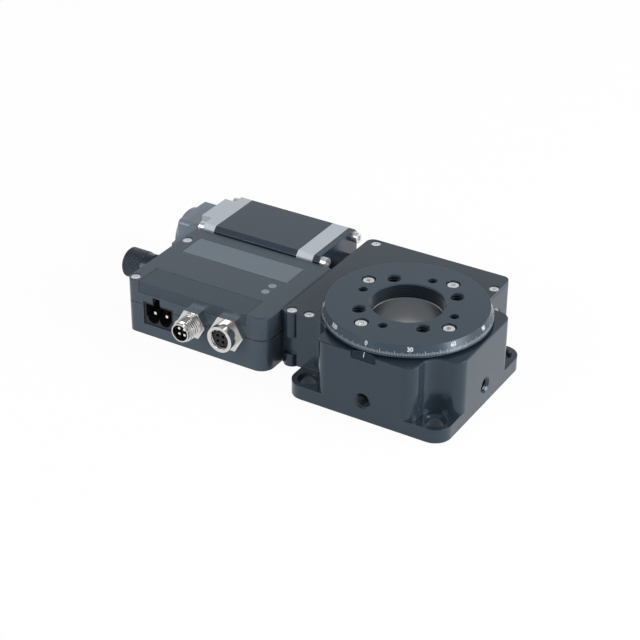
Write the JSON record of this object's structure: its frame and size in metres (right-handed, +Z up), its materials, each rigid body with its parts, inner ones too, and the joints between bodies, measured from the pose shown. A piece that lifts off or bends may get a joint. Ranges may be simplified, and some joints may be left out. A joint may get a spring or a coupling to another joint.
{
  "type": "motorized rotation stage",
  "caption": "Worm-driven rotary table with a graduated rim and open centre, a stepper motor with encoder and a controller box with knob, power inlet and round connectors.",
  "frame": {"origin": "on the table's axis, in the plane of the base's underside", "axes": "+Z up along the table's axis; +X from the motor towards the table; -Y the side with the connectors"},
  "size_m": [0.1467, 0.0831, 0.0312],
  "materials": {
    "housing": "blue-grey anodised, satin",
    "cover": "blue-grey anodised, satin",
    "table_top": "blue-grey anodised, satin",
    "case": "blue-grey anodised, satin",
    "index": "blue-grey anodised with a white line",
    "motor_black": "black, satin",
    "motor_cap": "bare die casting, satin",
    "steel": "ground",
    "screws": "bright",
    "bronze": "machined bronze",
    "cage": "stamped",
    "copper": "enamelled copper wire",
    "spider": "moulded polyurethane",
    "magnet": "plated",
    "black_plastic": "black, matt",
    "board": "green solder mask",
    "nickel": "nickel plated",
    "gold": "gold plated",
    "label": "grey film, left blank",
    "lens": "clear light guide",
    "knob": "black anodised, diagonal knurl"
  },
  "bodies": {
    "base": {"housing_body": "housing", "cover_plate": "cover", "controller_lower_case": "case", "controller_upper_case": "case", "index_plate": "index", "motor_stack": "motor_black", "motor_flange": "motor_black", "motor_front_cap": "motor_cap", "motor_rear_cap": "motor_cap", "base_ring": "steel", "bearing_outer_ring": "steel", "drive_bearing_outers": "steel", "worm_end_cap": "steel", "cover_screws": "screws", "controller_screws": "screws", "motor_bolts": "screws", "flange_screws": "screws", "case_link_screws": "screws", "board_screws": "screws", "stator_windings": "copper", "encoder_cover": "black_plastic", "encoder_duct": "black_plastic", "power_header": "black_plastic", "m8_male_insert": "black_plastic", "m8_female_insert": "black_plastic", "board_parts": "black_plastic", "control_board": "board", "encoder_board": "board", "home_sensor": "board", "m8_male_shell": "nickel", "m8_female_shell": "nickel", "m8_nuts": "nickel", "bush_nut": "nickel", "knob_encoder": "nickel", "m8_male_pins": "gold", "power_pins": "gold", "label_front": "label", "label_rear": "label", "led_lenses": "lens"},
    "table": {"table_disc": "table_top", "table_screws": "screws", "spindle": "steel", "worm_wheel": "bronze", "wheel_pins": "steel", "lock_nut": "steel", "bearing_inner_ring": "steel", "home_magnet": "magnet"},
    "worm": {"worm_shaft": "steel", "drive_bearing_inners": "steel", "coupling_hubs": "steel", "coupling_spider": "spider", "motor_rotor": "steel", "motor_shaft": "steel", "encoder_disc": "black_plastic"},
    "ball_cage": {"bearing_balls": "steel", "bearing_cage": "cage"},
    "knob_push": {"knob_plunger": "steel"},
    "knob": {"knob": "knob", "knob_shaft": "steel"}
  },
  "joints": [
    {"name": "table_turn", "type": "hinge", "parent": "base", "child": "table", "pos_m": [0, 0, 0], "axis": [0, 0, 1], "continuous": true},
    {"name": "worm_turn", "type": "hinge", "parent": "base", "child": "worm", "pos_m": [0, 0.0296, 0.0141], "axis": [1, 0, 0], "continuous": true},
    {"name": "cage_turn", "type": "hinge", "parent": "base", "child": "ball_cage", "pos_m": [0, 0, 0], "axis": [0, 0, 1], "continuous": true},
    {"name": "knob_press", "type": "slide", "parent": "base", "child": "knob_push", "axis": [1, 0, 0], "range_m": [0, 0.0008], "stiffness_N_per_m": 3000, "springref_m": -0.0005},
    {"name": "knob_turn", "type": "hinge", "parent": "knob_push", "child": "knob", "pos_m": [-0.109, -0.0052, 0.0165], "axis": [1, 0, 0], "continuous": true}
  ],
  "couplings": [
    {"joint": "worm_turn", "follows": "table_turn", "ratio": 72},
    {"joint": "cage_turn", "follows": "table_turn", "ratio": 0.4514}
  ]
}
